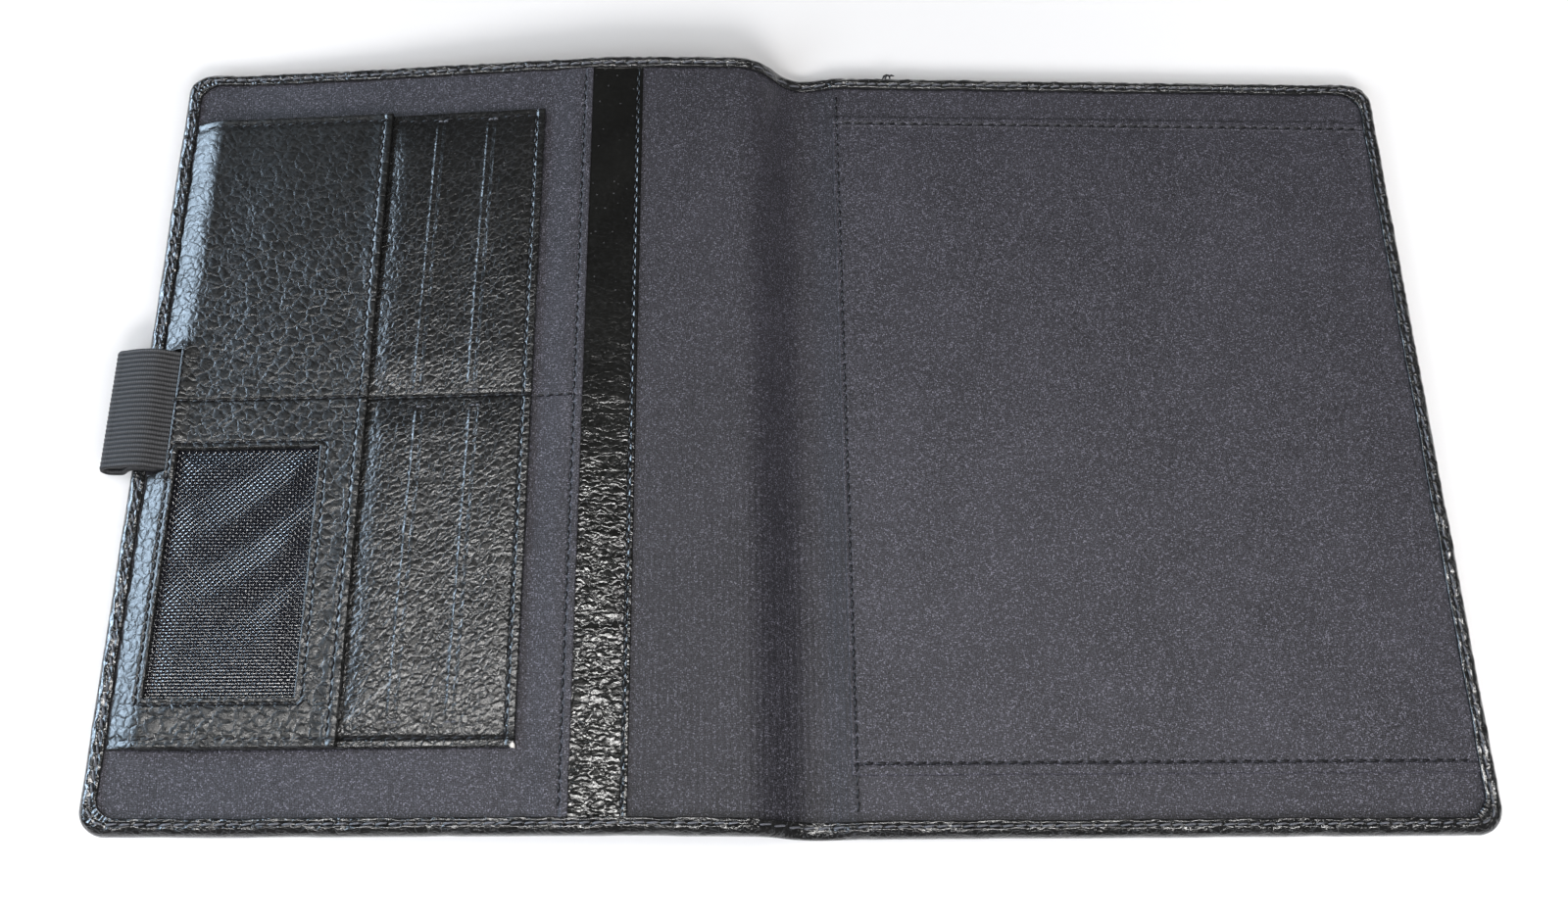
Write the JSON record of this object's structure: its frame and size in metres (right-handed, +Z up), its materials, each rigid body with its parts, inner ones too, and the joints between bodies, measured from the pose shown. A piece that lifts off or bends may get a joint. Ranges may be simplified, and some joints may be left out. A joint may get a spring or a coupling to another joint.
{
  "type": "notepad folio organizer",
  "caption": "Soft leather notepad folio lying open, with card slots, a mesh window pocket, a full-height pocket, a pad band and an elastic pen loop.",
  "frame": {"origin": "middle of the bounding box, on the table the folio lies on", "axes": "+X along the opened width toward the back cover's free edge, +Y toward the far edge, +Z up out of the table"},
  "size_m": [0.375, 0.235, 0.0153],
  "materials": {
    "leather": "pebbled, semi-matt",
    "panel_leather": "pebbled, soft sheen",
    "lining": "fine twill",
    "board": "raw grey board",
    "mesh": "open mesh",
    "elastic": "ribbed elastic"
  },
  "bodies": {
    "back_cover": {"back_leather": "leather", "back_board": "board", "back_lining": "lining", "notepad_pocket": "lining"},
    "spine": {"spine_leather": "leather", "spine_lining": "lining"},
    "front_cover": {"front_leather": "leather", "front_board": "board", "front_lining": "lining", "pocket_facing": "panel_leather", "pocket_panel": "lining", "upper_outer_slot_lining": "lining", "upper_inner_slot_lining": "lining", "lower_outer_slot_lining": "lining", "lower_inner_slot_lining": "lining", "card_panel": "panel_leather", "id_panel": "panel_leather", "window_mesh": "mesh", "pen_loop": "elastic"}
  },
  "joints": [
    {"name": "back_fold", "type": "hinge", "parent": "back_cover", "child": "spine", "pos_m": [0.0155, 0, 0.00275], "axis": [0, 1, 0], "range_deg": [0, 80]},
    {"name": "front_fold", "type": "hinge", "parent": "spine", "child": "front_cover", "pos_m": [-0.0105, 0, 0.012], "axis": [0, 1, 0], "range_deg": [0, 100]}
  ]
}
